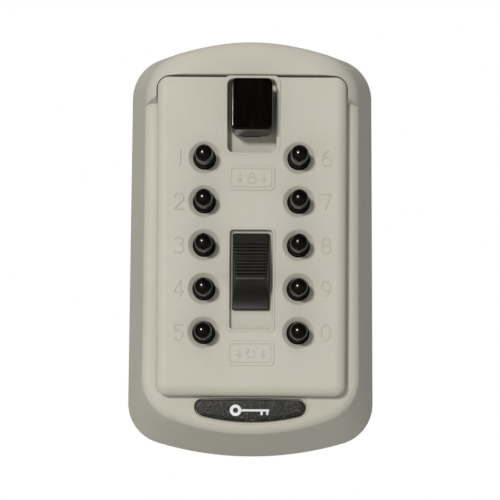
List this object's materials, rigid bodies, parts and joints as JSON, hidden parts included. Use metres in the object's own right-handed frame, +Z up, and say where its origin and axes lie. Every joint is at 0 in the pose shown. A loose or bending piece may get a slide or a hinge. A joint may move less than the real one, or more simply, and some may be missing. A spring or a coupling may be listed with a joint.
{
  "type": "key lock box",
  "caption": "Wall-mounted push-button key lock box: tapered die-cast case with a drop-down lid, domed code buttons, an open slide and a clear slide.",
  "frame": {"origin": "on the flat back face that lies on the wall, at the centre of the four wall-screw holes, 52 mm above the bottom of the case", "axes": "+Z up the wall, +Y into the wall, so the lid and its buttons face -Y, +X to the right as seen from the front"},
  "size_m": [0.065, 0.0434, 0.1083],
  "materials": {
    "clay_paint": "satin clay-beige powder coat with a fine texture",
    "gloss_black": "high-gloss black moulding",
    "button_black": "glossy black domed moulding",
    "charcoal_plastic": "semi-matt charcoal moulding with a ribbed grip",
    "badge_foil": "stippled near-black label with a pale pictogram",
    "plated_steel": "zinc-plated sheet steel",
    "screw_steel": "plated steel screw",
    "spring_steel": "drawn spring wire",
    "shaft_brass": "turned brass"
  },
  "bodies": {
    "case": {"case_body": "clay_paint", "badge": "badge_foil", "strike_plate": "plated_steel", "strike_screw_left": "screw_steel", "strike_screw_right": "screw_steel"},
    "lid": {"lid_shell": "clay_paint", "lock_frame": "plated_steel", "lock_cover": "plated_steel", "cover_screw_top_left": "screw_steel", "cover_screw_top_right": "screw_steel", "cover_screw_bottom_left": "screw_steel", "cover_screw_bottom_right": "screw_steel"},
    "open_latch": {"open_thumb": "gloss_black", "latch_plate": "plated_steel", "latch_screw": "screw_steel", "latch_spring": "spring_steel"},
    "clear_slide": {"clear_thumb": "charcoal_plastic", "clear_plate": "plated_steel", "clear_screw": "screw_steel", "clear_spring": "spring_steel"},
    "push_button_1": {"button_1": "button_black", "button_spring_1": "spring_steel"},
    "code_setting_1": {"code_shaft_1": "shaft_brass"},
    "push_button_2": {"button_2": "button_black", "button_spring_2": "spring_steel"},
    "code_setting_2": {"code_shaft_2": "shaft_brass"},
    "push_button_3": {"button_3": "button_black", "button_spring_3": "spring_steel"},
    "code_setting_3": {"code_shaft_3": "shaft_brass"},
    "push_button_4": {"button_4": "button_black", "button_spring_4": "spring_steel"},
    "code_setting_4": {"code_shaft_4": "shaft_brass"},
    "push_button_5": {"button_5": "button_black", "button_spring_5": "spring_steel"},
    "code_setting_5": {"code_shaft_5": "shaft_brass"},
    "push_button_6": {"button_6": "button_black", "button_spring_6": "spring_steel"},
    "code_setting_6": {"code_shaft_6": "shaft_brass"},
    "push_button_7": {"button_7": "button_black", "button_spring_7": "spring_steel"},
    "code_setting_7": {"code_shaft_7": "shaft_brass"},
    "push_button_8": {"button_8": "button_black", "button_spring_8": "spring_steel"},
    "code_setting_8": {"code_shaft_8": "shaft_brass"},
    "push_button_9": {"button_9": "button_black", "button_spring_9": "spring_steel"},
    "code_setting_9": {"code_shaft_9": "shaft_brass"},
    "push_button_0": {"button_0": "button_black", "button_spring_0": "spring_steel"},
    "code_setting_0": {"code_shaft_0": "shaft_brass"}
  },
  "joints": [
    {"name": "lid_tilt", "type": "hinge", "parent": "case", "child": "lid", "pos_m": [0, -0.0313, -0.0371], "axis": [1, 0, 0], "range_deg": [0, 75]},
    {"name": "open_slide", "type": "slide", "parent": "lid", "child": "open_latch", "axis": [0, 0, 1], "range_m": [-0.004, 0.0008], "stiffness_N_per_m": 600, "springref_m": 0.001, "deforming": ["latch_spring"]},
    {"name": "clear_travel", "type": "slide", "parent": "lid", "child": "clear_slide", "axis": [0, 0, 1], "range_m": [-0.0044, 0], "stiffness_N_per_m": 500, "springref_m": 0.002, "deforming": ["clear_spring"]},
    {"name": "press_1", "type": "slide", "parent": "lid", "child": "push_button_1", "axis": [0, 1, 0], "range_m": [0, 0.0025], "stiffness_N_per_m": 800, "springref_m": -0.0015, "deforming": ["button_spring_1"]},
    {"name": "code_turn_1", "type": "hinge", "parent": "push_button_1", "child": "code_setting_1", "pos_m": [-0.01135, -0.024, 0.02], "axis": [0, 1, 0], "range_deg": [0, 180]},
    {"name": "press_2", "type": "slide", "parent": "lid", "child": "push_button_2", "axis": [0, 1, 0], "range_m": [0, 0.0025], "stiffness_N_per_m": 800, "springref_m": -0.0015, "deforming": ["button_spring_2"]},
    {"name": "code_turn_2", "type": "hinge", "parent": "push_button_2", "child": "code_setting_2", "pos_m": [-0.01135, -0.024, 0.0095], "axis": [0, 1, 0], "range_deg": [0, 180]},
    {"name": "press_3", "type": "slide", "parent": "lid", "child": "push_button_3", "axis": [0, 1, 0], "range_m": [0, 0.0025], "stiffness_N_per_m": 800, "springref_m": -0.0015, "deforming": ["button_spring_3"]},
    {"name": "code_turn_3", "type": "hinge", "parent": "push_button_3", "child": "code_setting_3", "pos_m": [-0.01135, -0.024, -0.001], "axis": [0, 1, 0], "range_deg": [0, 180]},
    {"name": "press_4", "type": "slide", "parent": "lid", "child": "push_button_4", "axis": [0, 1, 0], "range_m": [0, 0.0025], "stiffness_N_per_m": 800, "springref_m": -0.0015, "deforming": ["button_spring_4"]},
    {"name": "code_turn_4", "type": "hinge", "parent": "push_button_4", "child": "code_setting_4", "pos_m": [-0.01135, -0.024, -0.0115], "axis": [0, 1, 0], "range_deg": [0, 180]},
    {"name": "press_5", "type": "slide", "parent": "lid", "child": "push_button_5", "axis": [0, 1, 0], "range_m": [0, 0.0025], "stiffness_N_per_m": 800, "springref_m": -0.0015, "deforming": ["button_spring_5"]},
    {"name": "code_turn_5", "type": "hinge", "parent": "push_button_5", "child": "code_setting_5", "pos_m": [-0.01135, -0.024, -0.022], "axis": [0, 1, 0], "range_deg": [0, 180]},
    {"name": "press_6", "type": "slide", "parent": "lid", "child": "push_button_6", "axis": [0, 1, 0], "range_m": [0, 0.0025], "stiffness_N_per_m": 800, "springref_m": -0.0015, "deforming": ["button_spring_6"]},
    {"name": "code_turn_6", "type": "hinge", "parent": "push_button_6", "child": "code_setting_6", "pos_m": [0.01135, -0.024, 0.02], "axis": [0, 1, 0], "range_deg": [0, 180]},
    {"name": "press_7", "type": "slide", "parent": "lid", "child": "push_button_7", "axis": [0, 1, 0], "range_m": [0, 0.0025], "stiffness_N_per_m": 800, "springref_m": -0.0015, "deforming": ["button_spring_7"]},
    {"name": "code_turn_7", "type": "hinge", "parent": "push_button_7", "child": "code_setting_7", "pos_m": [0.01135, -0.024, 0.0095], "axis": [0, 1, 0], "range_deg": [0, 180]},
    {"name": "press_8", "type": "slide", "parent": "lid", "child": "push_button_8", "axis": [0, 1, 0], "range_m": [0, 0.0025], "stiffness_N_per_m": 800, "springref_m": -0.0015, "deforming": ["button_spring_8"]},
    {"name": "code_turn_8", "type": "hinge", "parent": "push_button_8", "child": "code_setting_8", "pos_m": [0.01135, -0.024, -0.001], "axis": [0, 1, 0], "range_deg": [0, 180]},
    {"name": "press_9", "type": "slide", "parent": "lid", "child": "push_button_9", "axis": [0, 1, 0], "range_m": [0, 0.0025], "stiffness_N_per_m": 800, "springref_m": -0.0015, "deforming": ["button_spring_9"]},
    {"name": "code_turn_9", "type": "hinge", "parent": "push_button_9", "child": "code_setting_9", "pos_m": [0.01135, -0.024, -0.0115], "axis": [0, 1, 0], "range_deg": [0, 180]},
    {"name": "press_0", "type": "slide", "parent": "lid", "child": "push_button_0", "axis": [0, 1, 0], "range_m": [0, 0.0025], "stiffness_N_per_m": 800, "springref_m": -0.0015, "deforming": ["button_spring_0"]},
    {"name": "code_turn_0", "type": "hinge", "parent": "push_button_0", "child": "code_setting_0", "pos_m": [0.01135, -0.024, -0.022], "axis": [0, 1, 0], "range_deg": [0, 180]}
  ]
}
